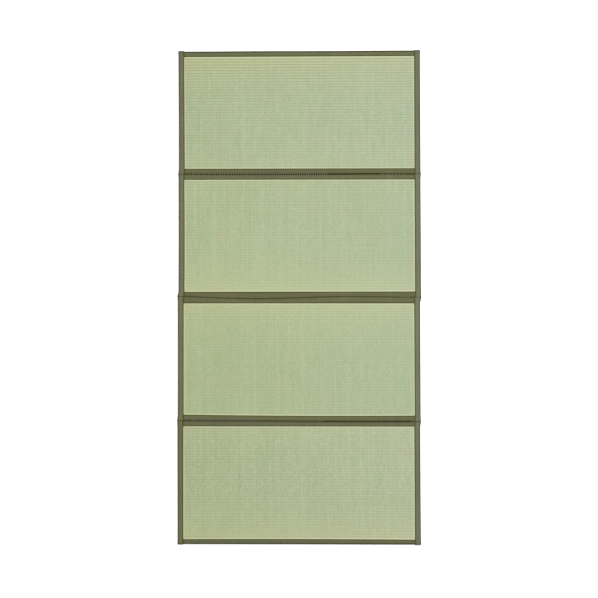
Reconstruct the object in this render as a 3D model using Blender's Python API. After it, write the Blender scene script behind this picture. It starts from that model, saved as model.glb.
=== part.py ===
# Folding tatami mat: four rush panels, each bound with cloth on all four edges,
# laid flat side by side. Metres, +Z up, +Y towards the far end of the mat.
import math

import bmesh
import bpy

# Edge and cloth sizes
THICKNESS = 0.025           # top of a binding to its underside
EDGE_ROUND = 0.0065         # rounding of a bound edge
CLOTH = 0.0013              # binding cloth, folded double
GAP = 0.00035               # air between two pieces that lie against each other
END_GAP = 0.0004            # air between the closed binding ends of two neighbours
FLARE = 0.0008              # a side binding spreads by at least this much at its closed ends
FLARE_REACH = 0.014         # the spread fades out over this length
SLAB_STOP = 0.0365          # from a slab's corner to where its side rim runs plain

# Woven face
RIDGES = 40                 # ridges of the weave in one panel
GROOVE_WIDTH = 0.0052       # groove between two ridges
GROOVE_DEPTH = 0.0007
GROOVE_TUCK = 0.004         # grooves run this far in under the side bindings

# How the far and near bindings dive under the side bindings
DIVE_END = 0.0005           # fully down at this distance before the side binding
DIVE_START = 0.0035         # still at full height at this distance
CORE_LEAD = 0.0005          # the rush dives this much earlier than the binding over it
CORNER_CUT = (0.0042, 0.0022)   # reach of the rush core's cut-off corner, across and along

# Heights: every layer rounds the same two lines, above and below mid-thickness
MIDDLE = THICKNESS / 2
HALF = THICKNESS / 2 - EDGE_ROUND
UNDER_ONE = EDGE_ROUND - CLOTH - GAP    # radius of what lies under one layer of cloth
UNDER_TWO = UNDER_ONE - CLOTH - GAP     # radius of what lies under two layers

# Mesh steps
ARC_STEPS = 3
END_ANGLES = (85, 60, 30, 0)            # degrees, sections round a closed binding end
MID_SECTIONS = (-0.40, -0.27, -0.13, 0.0, 0.13, 0.27, 0.40)
LINE_REACH = 0.475                      # the lines across run from -LINE_REACH to LINE_REACH
GAP_EASE = (0.400, 0.465)               # a seam opens to its end gap between these

# Lines across the mat, from the far edge to the near edge.
# y at seven evenly spaced places from left to right, then the gap at mid-width.
LINES = (
    ((1.0164, 1.0171, 1.0181, 1.0184, 1.0190, 1.0202, 1.0210), 0.0),
    ((0.5062, 0.5055, 0.5057, 0.5060, 0.5068, 0.5077, 0.5072), 0.0036),
    ((-0.0006, -0.0066, -0.0093, -0.0057, -0.0010, -0.0017, -0.0035), 0.0006),
    ((-0.5125, -0.5130, -0.5139, -0.5154, -0.5157, -0.5160, -0.5156), 0.0036),
    ((-1.0181, -1.0184, -1.0188, -1.0191, -1.0195, -1.0202, -1.0205), 0.0),
)

# Outer lines of the side bindings, x at the far end, the middle and the near end
SIDE_EDGES = (
    {"left": (-0.5003, -0.4985, -0.4976), "right": (0.4994, 0.5002, 0.5009)},
    {"left": (-0.4988, -0.4978, -0.4980), "right": (0.5006, 0.5016, 0.5019)},
    {"left": (-0.5011, -0.5002, -0.5000), "right": (0.4984, 0.4987, 0.4992)},
    {"left": (-0.5014, -0.5004, -0.4996), "right": (0.4976, 0.4980, 0.4994)},
)

# Inner lines of the bindings, where the rush begins to show.
# far, near: y at the left and the right; left, right: x at the far and the near end;
# the third number is how far the line bows at its middle.
RIMS = (
    {"far": (0.9941, 0.9985, 0.0), "near": (0.5278, 0.5305, 0.0),
     "left": (-0.4787, -0.4750, 0.0), "right": (0.4762, 0.4770, 0.0)},
    {"far": (0.4833, 0.4851, 0.0), "near": (0.0183, 0.0197, 0.0),
     "left": (-0.4769, -0.4755, 0.0012), "right": (0.4768, 0.4785, 0.0)},
    {"far": (-0.0283, -0.0284, 0.0), "near": (-0.4881, -0.4922, -0.0027),
     "left": (-0.4784, -0.4776, 0.0), "right": (0.4744, 0.4761, 0.0)},
    {"far": (-0.5350, -0.5365, 0.0), "near": (-0.9996, -1.0017, 0.0015),
     "left": (-0.4790, -0.4780, 0.0), "right": (0.4739, 0.4757, 0.0)},
)

# Where the far and the near inner line of each panel lie, counted in ridges
RIDGE_COUNTS = ((0.12, 40.08), (0.19, 39.97), (0.25, 39.93), (0.16, 39.88))

OUTWARD = {"far": 1, "near": -1, "left": -1, "right": 1}


# Lines of a panel

def between(line, place):
    start, stop, bow = line
    return start + (stop - start) * place + bow * 4 * place * (1 - place)


def ease(value, start, stop):
    place = min(max((value - start) / (stop - start), 0.0), 1.0)
    return place * place * (3 - 2 * place)


def smooth_through(values, place):
    last = len(values) - 1
    at = min(max(place, 0.0), 1.0) * last
    index = min(int(at), last - 1)
    t = at - index
    before = values[max(index - 1, 0)]
    start = values[index]
    stop = values[index + 1]
    after = values[min(index + 2, last)]
    return 0.5 * (
        2 * start
        + (stop - before) * t
        + (2 * before - 5 * start + 4 * stop - after) * t ** 2
        + (3 * start - before - 3 * stop + after) * t ** 3
    )


def across_place(x):
    return (x + LINE_REACH) / (2 * LINE_REACH)


def rim_y(panel, end, x):
    return between(RIMS[panel][end], across_place(x))


def edge_y(panel, end, x):
    # Outer line of a far or near binding. At a seam it stays half a gap off the line.
    values, middle_gap = LINES[panel if end == "far" else panel + 1]
    y = smooth_through(values, across_place(x))
    if middle_gap == 0.0:
        return y
    end_gap = 2 * end_step() + END_GAP
    gap = middle_gap + (end_gap - middle_gap) * ease(abs(x), *GAP_EASE)
    return y - OUTWARD[end] * gap / 2


def end_step():
    # How far a closed binding end stands out past the far or near binding inside it
    return EDGE_ROUND * math.sin(math.radians(END_ANGLES[0])) - UNDER_ONE


def corner_y(panel, end, side):
    # y of the line that all layers round at a corner of the panel
    return edge_y(panel, end, OUTWARD[side] * LINE_REACH) - OUTWARD[end] * UNDER_ONE


def along_place(panel, side, y):
    far = corner_y(panel, "far", side)
    near = corner_y(panel, "near", side)
    return (far - y) / (far - near)


def rim_x(panel, side, y):
    return between(RIMS[panel][side], along_place(panel, side, y))


def spread(panel, end, side):
    # How far a side line spreads at its end. At a seam it spreads far enough to meet
    # the side line of the next panel where that one lies further out.
    neighbour = panel - OUTWARD[end]
    if neighbour not in range(len(SIDE_EDGES)):
        return FLARE
    here, there = (0, -1) if end == "far" else (-1, 0)
    step = SIDE_EDGES[neighbour][side][there] - SIDE_EDGES[panel][side][here]
    return FLARE + max(OUTWARD[side] * step, 0.0)


def core_x(panel, side, y):
    # x of the line that all layers round along a side
    x = smooth_through(SIDE_EDGES[panel][side], along_place(panel, side, y))
    return x - OUTWARD[side] * EDGE_ROUND


def spread_core_x(panel, side, y):
    # The same for the side binding itself, spread a little towards its closed ends
    x = core_x(panel, side, y)
    for end in ("far", "near"):
        to_end = OUTWARD[end] * (corner_y(panel, end, side) - y)
        x += OUTWARD[side] * spread(panel, end, side) * (1 - ease(to_end, 0.0, FLARE_REACH))
    return x


def dive_x(panel, end, side, before_rim):
    # x at a distance before a side binding's inner line, at one end of the panel
    y = corner_y(panel, end, side)
    return rim_x(panel, side, y) - OUTWARD[side] * before_rim


# Building a solid from the corner points of its faces

class Skin:
    def __init__(self):
        self.mesh = bmesh.new()
        self.corners = {}

    def vertex(self, point):
        key = tuple(round(value, 7) for value in point)
        if key not in self.corners:
            self.corners[key] = self.mesh.verts.new(key)
        return self.corners[key]

    def face(self, points):
        self.mesh.faces.new([self.vertex(point) for point in points])

    def strip(self, line, other):
        # Faces between two lines of points that run the same way
        if len(line) == len(other):
            for index in range(len(line) - 1):
                self.face((line[index], line[index + 1], other[index + 1], other[index]))
            return
        first = 0
        second = 0
        while first < len(line) - 1 or second < len(other) - 1:
            first_place = (first + 1) / (len(line) - 1)
            second_place = (second + 1) / (len(other) - 1)
            if first_place <= second_place:
                self.face((line[first], line[first + 1], other[second]))
                first += 1
            else:
                self.face((line[first], other[second + 1], other[second]))
                second += 1

    def finish(self, name, material, place):
        bmesh.ops.recalc_face_normals(self.mesh, faces=self.mesh.faces)
        bmesh.ops.translate(self.mesh, verts=self.mesh.verts, vec=[-value for value in place])
        data = bpy.data.meshes.new(name)
        self.mesh.to_mesh(data)
        self.mesh.free()
        data.materials.append(material)
        data.shade_smooth()
        data.set_sharp_from_angle(angle=math.radians(35))
        piece = bpy.data.objects.new(name, data)
        piece.location = place
        bpy.context.scene.collection.objects.link(piece)
        return piece


# Bindings

def fold_profile(rim, core, outward, radius):
    # Cloth folded round an edge, as (across, height) points from the top rim to the lower rim
    points = [(rim, MIDDLE + HALF + radius)]
    for step in range(ARC_STEPS + 1):
        angle = math.radians(90 - 90 * step / ARC_STEPS)
        across = core + outward * radius * math.cos(angle)
        points.append((across, MIDDLE + HALF + radius * math.sin(angle)))
    for step in range(ARC_STEPS + 1):
        angle = math.radians(90 * step / ARC_STEPS)
        across = core + outward * radius * math.cos(angle)
        points.append((across, MIDDLE - HALF - radius * math.sin(angle)))
    points.append((rim, MIDDLE - HALF - radius))
    return points


def folded_cloth(name, outer_rings, inner_rings, closed, material, place):
    skin = Skin()
    for outer, inner, next_outer, next_inner in zip(
        outer_rings, inner_rings, outer_rings[1:], inner_rings[1:]
    ):
        skin.strip(outer, next_outer)
        skin.strip(inner, next_inner)
        skin.face((outer[0], next_outer[0], next_inner[0], inner[0]))
        skin.face((outer[-1], next_outer[-1], next_inner[-1], inner[-1]))
    for index in (0, -1):
        outer = outer_rings[index]
        inner = inner_rings[index]
        if closed:
            skin.face(outer)
            skin.face(inner)
            skin.face((outer[0], outer[-1], inner[-1], inner[0]))
        else:
            skin.strip(outer, inner)
    return skin.finish(name, material, place)


def long_sections(panel, end):
    # x, distance from the outer line to the rounded line, and rounding radius
    sections = []
    for side in ("left", "right"):
        corner = corner_y(panel, end, side)
        row = [
            (core_x(panel, side, corner), UNDER_ONE),
            (dive_x(panel, end, side, DIVE_END), UNDER_ONE),
            (dive_x(panel, end, side, DIVE_START), EDGE_ROUND),
        ]
        if side == "left":
            sections += row + [(x, EDGE_ROUND) for x in MID_SECTIONS]
        else:
            sections += row[::-1]
    return sections


def long_binding(panel, end, material, place):
    outer_rings = []
    inner_rings = []
    outward = OUTWARD[end]
    for x, radius in long_sections(panel, end):
        rim = rim_y(panel, end, x)
        core = edge_y(panel, end, x) - outward * radius
        outer = fold_profile(rim, core, outward, radius)
        inner = fold_profile(rim, core, outward, radius - CLOTH)
        outer_rings.append([(x, y, z) for y, z in outer])
        inner_rings.append([(x, y, z) for y, z in inner])
    name = f"{end}_binding_{panel + 1}"
    return folded_cloth(name, outer_rings, inner_rings, False, material, place)


def side_sections(panel, side):
    # y of the rounded line and the angle round the closed end
    far = corner_y(panel, "far", side)
    near = corner_y(panel, "near", side)
    middle = (far + near) / 2
    sections = [(far, angle) for angle in END_ANGLES]
    sections += [(far - FLARE_REACH, 0), ((far + middle) / 2, 0), (middle, 0)]
    sections += [((near + middle) / 2, 0), (near + FLARE_REACH, 0)]
    sections += [(near, -angle) for angle in END_ANGLES[::-1]]
    return sections


def side_ring(panel, side, y, angle, radius):
    turn = math.radians(angle)
    rim = rim_x(panel, side, y)
    core = spread_core_x(panel, side, y)
    profile = fold_profile(rim, core, OUTWARD[side], radius * math.cos(turn))
    return [(x, y + radius * math.sin(turn), z) for x, z in profile]


def side_binding(panel, side, material, place):
    outer_rings = []
    inner_rings = []
    for y, angle in side_sections(panel, side):
        outer_rings.append(side_ring(panel, side, y, angle, EDGE_ROUND))
        inner_rings.append(side_ring(panel, side, y, angle, EDGE_ROUND - CLOTH))
    name = f"{side}_binding_{panel + 1}"
    return folded_cloth(name, outer_rings, inner_rings, True, material, place)


# Rush panel: a slab with a grooved face, its corners let down under the crossed bindings

def far_or_near_row(panel, end):
    # The slab's rim line along one long edge from left to right: x, y, radius, wall point
    row = []
    wall_step = CLOTH + GAP
    outward = OUTWARD[end]

    def add(x, radius, rounding):
        edge = edge_y(panel, end, x)
        row.append((x, edge - outward * rounding, radius, (x, edge - outward * wall_step)))

    for side in ("left", "right"):
        y = corner_y(panel, end, side)
        x = core_x(panel, side, y)
        wall = (x + OUTWARD[side] * CORNER_CUT[0], y + outward * CORNER_CUT[1])
        corner = (x, y, UNDER_TWO, wall)
        low = dive_x(panel, end, side, DIVE_END + CORE_LEAD)
        high = dive_x(panel, end, side, DIVE_START + CORE_LEAD)
        if side == "left":
            row.append(corner)
            add(low, UNDER_TWO, UNDER_ONE)
            add(high, UNDER_ONE, EDGE_ROUND)
            for x in MID_SECTIONS:
                add(x, UNDER_ONE, EDGE_ROUND)
        else:
            add(high, UNDER_ONE, EDGE_ROUND)
            add(low, UNDER_TWO, UNDER_ONE)
            row.append(corner)
    return row


def rim_row_y(panel, end, x, inside):
    return rim_y(panel, end, x) - OUTWARD[end] * inside


def side_column(panel, side):
    # The slab's rim line along one side from far to near: x, y, radius, wall point
    x_guess = OUTWARD[side] * LINE_REACH
    low = DIVE_END + 0.0001
    high = DIVE_START + 0.0001
    far = corner_y(panel, "far", side)
    near = corner_y(panel, "near", side)
    stops = (
        (rim_row_y(panel, "far", x_guess, low), UNDER_TWO),
        (rim_row_y(panel, "far", x_guess, high), UNDER_ONE),
        (far - SLAB_STOP, UNDER_ONE),
        ((far + near) / 2, UNDER_ONE),
        (near + SLAB_STOP, UNDER_ONE),
        (rim_row_y(panel, "near", x_guess, high), UNDER_ONE),
        (rim_row_y(panel, "near", x_guess, low), UNDER_TWO),
    )
    column = []
    for y, radius in stops:
        x = core_x(panel, side, y)
        column.append((x, y, radius, (x + OUTWARD[side] * UNDER_ONE, y)))
    return column


def groove_x(panel, side, y):
    return rim_x(panel, side, y) + OUTWARD[side] * GROOVE_TUCK


def groove_lines(panel):
    # y at the left and the right of each groove: far lip, bottom, near lip
    lines = []
    first, last = RIDGE_COUNTS[panel]
    for number in range(1, RIDGES):
        place = (number - first) / (last - first)
        pair = []
        for index in (0, 1):
            far = RIMS[panel]["far"][index]
            near = RIMS[panel]["near"][index]
            pair.append(far + (near - far) * place)
        half = GROOVE_WIDTH / 2
        lines.append([(pair[0] + step, pair[1] + step) for step in (half, 0.0, -half)])
    return lines


def raised(points, sign):
    # Rim points at their height: sign 1 for the upper face, -1 for the underside
    return [(x, y, MIDDLE + sign * (HALF + radius)) for x, y, radius in points]


def end_patch(skin, panel, end, row, columns, sign):
    # The part of a face between a long edge and the line just inside the binding's rim.
    # Returns that line from left to right.
    outer = raised([entry[:3] for entry in row], sign)
    index = 0 if end == "far" else -1
    step = 1 if end == "far" else -2
    low_y = {}
    high_y = {}
    for side in ("left", "right"):
        low_y[side] = columns[side][index][1]
        high_y[side] = columns[side][step][1]
    sides = {"left": (row[0], row[1], row[2]), "right": (row[-1], row[-2], row[-3])}
    inner_row = {}
    for side in ("left", "right"):
        corner, low, high = raised([entry[:3] for entry in sides[side]], sign)
        side_low = raised([columns[side][index][:3]], sign)[0]
        side_high = raised([columns[side][step][:3]], sign)[0]
        low_low = (low[0], low_y[side], low[2])
        high_low = (high[0], low_y[side], high[2])
        low_high = (low[0], high_y[side], high[2])
        high_high = (high[0], high_y[side], high[2])
        skin.face((corner, low, low_low, side_low))
        skin.face((low, high, high_low, low_low))
        inner = [side_high, low_high, high_high]
        if sign == 1:
            x = groove_x(panel, side, high_y[side])
            inner.insert(1, (x, high_y[side], high[2]))
        skin.face([side_low, low_low] + inner[:-1][::-1])
        skin.face((low_low, high_low, low_high))
        skin.face((high_low, high_high, low_high))
        inner_row[side] = inner
        inner_row[side + " low"] = high_low
    left_low = inner_row["left low"]
    right_low = inner_row["right low"]
    skin.strip(outer[2:-2], [left_low, right_low])
    skin.face((left_low, right_low, inner_row["right"][-1], inner_row["left"][-1]))
    return inner_row["left"] + inner_row["right"][::-1]


def upper_face(skin, panel, far_row, near_row, columns):
    far_line = end_patch(skin, panel, "far", far_row, columns, 1)
    near_line = end_patch(skin, panel, "near", near_row, columns, 1)
    crest = MIDDLE + HALF + UNDER_ONE
    left_line = [far_line[1]]
    right_line = [far_line[-2]]
    last = far_line[1:-1]
    for lips in groove_lines(panel):
        rows = []
        for (left_y, right_y), drop in zip(lips, (0.0, GROOVE_DEPTH, 0.0)):
            left = (groove_x(panel, "left", left_y), left_y, crest - drop)
            right = (groove_x(panel, "right", right_y), right_y, crest - drop)
            rows.append([left, right])
        skin.strip(last, rows[0])
        skin.strip(rows[0], rows[1])
        skin.strip(rows[1], rows[2])
        for index in (0, 1):
            skin.face((rows[0][index], rows[1][index], rows[2][index]))
        left_line += [rows[0][0], rows[2][0]]
        right_line += [rows[0][1], rows[2][1]]
        last = rows[2]
    skin.strip(last, near_line[1:-1])
    left_line.append(near_line[1])
    right_line.append(near_line[-2])
    for side, line in (("left", left_line), ("right", right_line)):
        column = raised([entry[:3] for entry in columns[side][1:-1]], 1)
        skin.strip(column, line)


def underside(skin, panel, far_row, near_row, columns):
    far_line = end_patch(skin, panel, "far", far_row, columns, -1)
    near_line = end_patch(skin, panel, "near", near_row, columns, -1)
    skin.strip(far_line[1:-1], near_line[1:-1])
    for side, index in (("left", 1), ("right", -2)):
        column = raised([entry[:3] for entry in columns[side][1:-1]], -1)
        skin.strip(column, [far_line[index], near_line[index]])


def rush_panel(panel, material, place):
    skin = Skin()
    far_row = far_or_near_row(panel, "far")
    near_row = far_or_near_row(panel, "near")
    columns = {side: side_column(panel, side) for side in ("left", "right")}
    upper_face(skin, panel, far_row, near_row, columns)
    underside(skin, panel, far_row, near_row, columns)
    outline = far_row + columns["right"] + near_row[::-1] + columns["left"][::-1]
    outline.append(outline[0])
    rim_points = [entry[:3] for entry in outline]
    upper_rim = raised(rim_points, 1)
    upper_wall = [(*entry[3], MIDDLE + HALF) for entry in outline]
    lower_wall = [(*entry[3], MIDDLE - HALF) for entry in outline]
    lower_rim = raised(rim_points, -1)
    skin.strip(upper_rim, upper_wall)
    skin.strip(upper_wall, lower_wall)
    skin.strip(lower_wall, lower_rim)
    return skin.finish(f"rush_panel_{panel + 1}", material, place)


# Materials and the whole mat

def plain_material(name, color, roughness):
    material = bpy.data.materials.new(name)
    material.use_nodes = True
    shader = material.node_tree.nodes["Principled BSDF"]
    shader.inputs["Base Color"].default_value = (*color, 1.0)
    shader.inputs["Roughness"].default_value = roughness
    shader.inputs["Metallic"].default_value = 0.0
    material.diffuse_color = (*color, 1.0)
    return material


def centre_on_origin(pieces):
    for axis in (0, 1):
        values = []
        for piece in pieces:
            values += [piece.location[axis] + vertex.co[axis] for vertex in piece.data.vertices]
        middle = (min(values) + max(values)) / 2
        for piece in pieces:
            piece.location[axis] -= middle


def build_mat():
    for old in list(bpy.data.objects):
        bpy.data.objects.remove(old, do_unlink=True)
    rush = plain_material("rush_weave", (0.45, 0.51, 0.31), 0.7)
    cloth = plain_material("binding_cloth", (0.17, 0.18, 0.10), 0.9)
    pieces = []
    for panel in range(4):
        middle_y = (LINES[panel][0][3] + LINES[panel + 1][0][3]) / 2
        place = (0.0, middle_y, 0.0)
        pieces.append(rush_panel(panel, rush, place))
        for end in ("far", "near"):
            pieces.append(long_binding(panel, end, cloth, place))
        for side in ("left", "right"):
            pieces.append(side_binding(panel, side, cloth, place))
    centre_on_origin(pieces)
    mat = bpy.data.objects.new("mat", None)
    bpy.context.scene.collection.objects.link(mat)
    for piece in pieces:
        piece.parent = mat


build_mat()
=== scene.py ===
# Folding tatami mat laid flat: woven rush panels, cloth bindings round every edge and the
# overcast stitches between the panels. Metres, +Z up, +Y towards the far end of the mat.
import math

import bmesh
import bpy
import numpy as np
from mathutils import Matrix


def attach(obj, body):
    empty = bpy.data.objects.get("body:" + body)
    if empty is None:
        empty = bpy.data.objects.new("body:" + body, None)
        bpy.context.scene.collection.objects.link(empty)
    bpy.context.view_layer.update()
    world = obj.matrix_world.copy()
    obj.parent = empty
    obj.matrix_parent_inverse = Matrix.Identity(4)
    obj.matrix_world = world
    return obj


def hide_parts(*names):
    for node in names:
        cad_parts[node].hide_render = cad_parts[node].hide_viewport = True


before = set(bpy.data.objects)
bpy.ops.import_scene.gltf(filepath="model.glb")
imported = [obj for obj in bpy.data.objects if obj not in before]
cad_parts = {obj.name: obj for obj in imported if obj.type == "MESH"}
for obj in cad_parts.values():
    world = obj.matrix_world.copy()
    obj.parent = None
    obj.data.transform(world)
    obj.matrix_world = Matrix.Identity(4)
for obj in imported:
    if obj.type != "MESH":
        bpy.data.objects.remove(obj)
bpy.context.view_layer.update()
scene = bpy.context.scene
bpy.ops.object.select_all(action="DESELECT")
print("frame loaded:", len(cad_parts), "nodes")

outward = {"far": 1, "near": -1, "left": -1, "right": 1}

mat = {
    "thickness": 0.025,
    "edgeRound": 0.0065,  # rounding of a bound edge
    "cloth": 0.0013,  # binding cloth, folded double
    "gap": 0.00035,  # air between touching pieces
    "endGap": 0.0004,  # air between closed binding ends at a seam
    "endAngle": 85,  # degrees, sets how far a closed end stands out
    "flare": 0.0008,  # how far a side binding spreads at its closed ends
    "flareReach": 0.014,  # and over what length
    "lineReach": 0.475,  # x at the ends of the lines across the mat
    "gapEase": (0.400, 0.465),  # x where a seam narrows to the end gap
    "shift": (-0.00025, -0.00025),  # centres the mat on the origin
    # y of the lines across the mat, left to right, and the gap at mid-width
    "across": [
        ((1.0164, 1.0171, 1.0181, 1.0184, 1.0190, 1.0202, 1.0210), 0.0),
        ((0.5062, 0.5055, 0.5057, 0.5060, 0.5068, 0.5077, 0.5072), 0.0036),
        ((-0.0006, -0.0066, -0.0093, -0.0057, -0.0010, -0.0017, -0.0035), 0.0006),
        ((-0.5125, -0.5130, -0.5139, -0.5154, -0.5157, -0.5160, -0.5156), 0.0036),
        ((-1.0181, -1.0184, -1.0188, -1.0191, -1.0195, -1.0202, -1.0205), 0.0),
    ],
    # x of the outer side lines at the far end, the middle and the near end
    "sides": [
        {"left": (-0.5003, -0.4985, -0.4976), "right": (0.4994, 0.5002, 0.5009)},
        {"left": (-0.4988, -0.4978, -0.4980), "right": (0.5006, 0.5016, 0.5019)},
        {"left": (-0.5011, -0.5002, -0.5000), "right": (0.4984, 0.4987, 0.4992)},
        {"left": (-0.5014, -0.5004, -0.4996), "right": (0.4976, 0.4980, 0.4994)},
    ],
    # inner lines of the bindings: y at left and right and how far the line bows at mid-width,
    # x at the far and the near end
    "rims": [
        {"far": (0.9941, 0.9985, 0.0), "near": (0.5278, 0.5305, 0.0),
         "left": (-0.4787, -0.4750, 0.0), "right": (0.4762, 0.4770, 0.0)},
        {"far": (0.4833, 0.4851, 0.0), "near": (0.0183, 0.0197, 0.0),
         "left": (-0.4769, -0.4755, 0.0012), "right": (0.4768, 0.4785, 0.0)},
        {"far": (-0.0283, -0.0284, 0.0), "near": (-0.4881, -0.4922, -0.0027),
         "left": (-0.4784, -0.4776, 0.0), "right": (0.4744, 0.4761, 0.0)},
        {"far": (-0.5350, -0.5365, 0.0), "near": (-0.9996, -1.0017, 0.0015),
         "left": (-0.4790, -0.4780, 0.0), "right": (0.4739, 0.4757, 0.0)},
    ],
}
middle = mat["thickness"] / 2
half = mat["thickness"] / 2 - mat["edgeRound"]
underOne = mat["edgeRound"] - mat["cloth"] - mat["gap"]  # below one layer of cloth
underTwo = underOne - mat["cloth"] - mat["gap"]  # below two layers


# lines of a panel

def between(line, place):  # along a line from its start to its stop, bowed at the middle
    start, stop, bow = line
    return start + (stop - start) * place + bow * 4 * place * (1 - place)


def ease(value, start, stop):
    place = np.clip((value - start) / (stop - start), 0.0, 1.0)
    return place * place * (3 - 2 * place)


def smoothThrough(values, place):
    last = len(values) - 1
    at = min(max(place, 0.0), 1.0) * last
    index = min(int(at), last - 1)
    t = at - index
    before = values[max(index - 1, 0)]
    start = values[index]
    stop = values[index + 1]
    after = values[min(index + 2, last)]
    return 0.5 * (
        2 * start
        + (stop - before) * t
        + (2 * before - 5 * start + 4 * stop - after) * t ** 2
        + (3 * start - before - 3 * stop + after) * t ** 3
    )


def acrossPlace(x):
    return (x + mat["lineReach"]) / (2 * mat["lineReach"])


def rimY(panel, end, x):
    return between(mat["rims"][panel][end], acrossPlace(x))


def endStep():  # how far a closed end stands out past the far or near binding
    return mat["edgeRound"] * math.sin(math.radians(mat["endAngle"])) - underOne


def lineY(line, x):
    return smoothThrough(mat["across"][line][0], acrossPlace(x))


def edgeY(panel, end, x):  # outer line of a far or near binding
    line = panel if end == "far" else panel + 1
    midGap = mat["across"][line][1]
    if midGap == 0.0:
        return lineY(line, x)
    endGap = 2 * endStep() + mat["endGap"]
    gap = midGap + (endGap - midGap) * ease(abs(x), *mat["gapEase"])
    return lineY(line, x) - outward[end] * gap / 2


def cornerY(panel, end, side):  # y of the line that all layers round at a corner
    return edgeY(panel, end, outward[side] * mat["lineReach"]) - outward[end] * underOne


def alongPlace(panel, side, y):
    far = cornerY(panel, "far", side)
    near = cornerY(panel, "near", side)
    return (far - y) / (far - near)


def rimX(panel, side, y):
    return between(mat["rims"][panel][side], alongPlace(panel, side, y))


def spread(panel, end, side):  # a side line spreads to meet that of the next panel
    neighbour = panel - outward[end]
    if neighbour not in range(4):
        return mat["flare"]
    here, there = (0, -1) if end == "far" else (-1, 0)
    step = mat["sides"][neighbour][side][there] - mat["sides"][panel][side][here]
    return mat["flare"] + max(outward[side] * step, 0.0)


def coreX(panel, side, y):  # x of the line that all layers round along a side
    x = smoothThrough(mat["sides"][panel][side], alongPlace(panel, side, y))
    return x - outward[side] * mat["edgeRound"]


def spreadCoreX(panel, side, y):  # the same for the side binding, spread at its closed ends
    x = coreX(panel, side, y)
    for end in ("far", "near"):
        toEnd = outward[end] * (cornerY(panel, end, side) - y)
        x += outward[side] * spread(panel, end, side) * (1 - ease(toEnd, 0.0, mat["flareReach"]))
    return x


def ripple(seed, place, lengths=(0.019, 0.031, 0.057, 0.122)):  # about -1 to 1
    phases = np.random.default_rng(seed).uniform(0, 2 * math.pi, len(lengths))
    total = 0.0
    for length, phase in zip(lengths, phases):
        total += math.sin(2 * math.pi * place / length + phase)
    return total / len(lengths)


# meshes from points

def makePiece(name, points, faces, uv, marks, finish):
    points = np.asarray(points, float)
    points = points + np.array([mat["shift"][0], mat["shift"][1], 0.0])
    data = bpy.data.meshes.new(name)
    data.from_pydata(points.tolist(), [], faces)
    layer = data.uv_layers.new(name="cloth")
    corners = np.zeros(len(data.loops), dtype=np.int32)
    data.loops.foreach_get("vertex_index", corners)
    layer.data.foreach_set("uv", np.asarray(uv, float)[corners].ravel())
    for title, values in marks.items():
        mark = data.attributes.new(name=title, type="FLOAT", domain="POINT")
        mark.data.foreach_set("value", np.broadcast_to(values, len(points)).astype(float))
    data.materials.append(finish)
    piece = bpy.data.objects.new(name, data)
    scene.collection.objects.link(piece)
    shell = bmesh.new()
    shell.from_mesh(data)
    bmesh.ops.recalc_face_normals(shell, faces=shell.faces)
    shell.to_mesh(data)
    shell.free()
    data.shade_smooth()
    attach(piece, "root")
    return piece


def bridge(points, line, other, axis):  # triangles between two lines of unequal steps
    faces = []
    first = 0
    second = 0
    way = 1 if points[line[-1]][axis] > points[line[0]][axis] else -1
    while first < len(line) - 1 or second < len(other) - 1:
        if second == len(other) - 1:
            step = True
        elif first == len(line) - 1:
            step = False
        else:
            ahead = way * points[line[first + 1]][axis]
            step = ahead <= way * points[other[second + 1]][axis]
        if step:
            faces.append((line[first], line[first + 1], other[second]))
            first += 1
        else:
            faces.append((line[first], other[second + 1], other[second]))
            second += 1
    return faces


# shader graphs

class Value:  # a number socket that takes part in Python expressions
    def __init__(self, graph, socket):
        self.graph = graph
        self.socket = socket

    def maths(self, operation, *others):
        node = self.graph.add("ShaderNodeMath", {"operation": operation}, [self, *others])
        return Value(self.graph, node.outputs[0])

    def __add__(self, other):
        return self.maths("ADD", other)

    def __radd__(self, other):
        return self.maths("ADD", other)

    def __sub__(self, other):
        return self.maths("SUBTRACT", other)

    def __rsub__(self, other):
        node = self.graph.add("ShaderNodeMath", {"operation": "SUBTRACT"}, [other, self])
        return Value(self.graph, node.outputs[0])

    def __mul__(self, other):
        return self.maths("MULTIPLY", other)

    def __rmul__(self, other):
        return self.maths("MULTIPLY", other)

    def __truediv__(self, other):
        return self.maths("DIVIDE", other)


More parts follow.
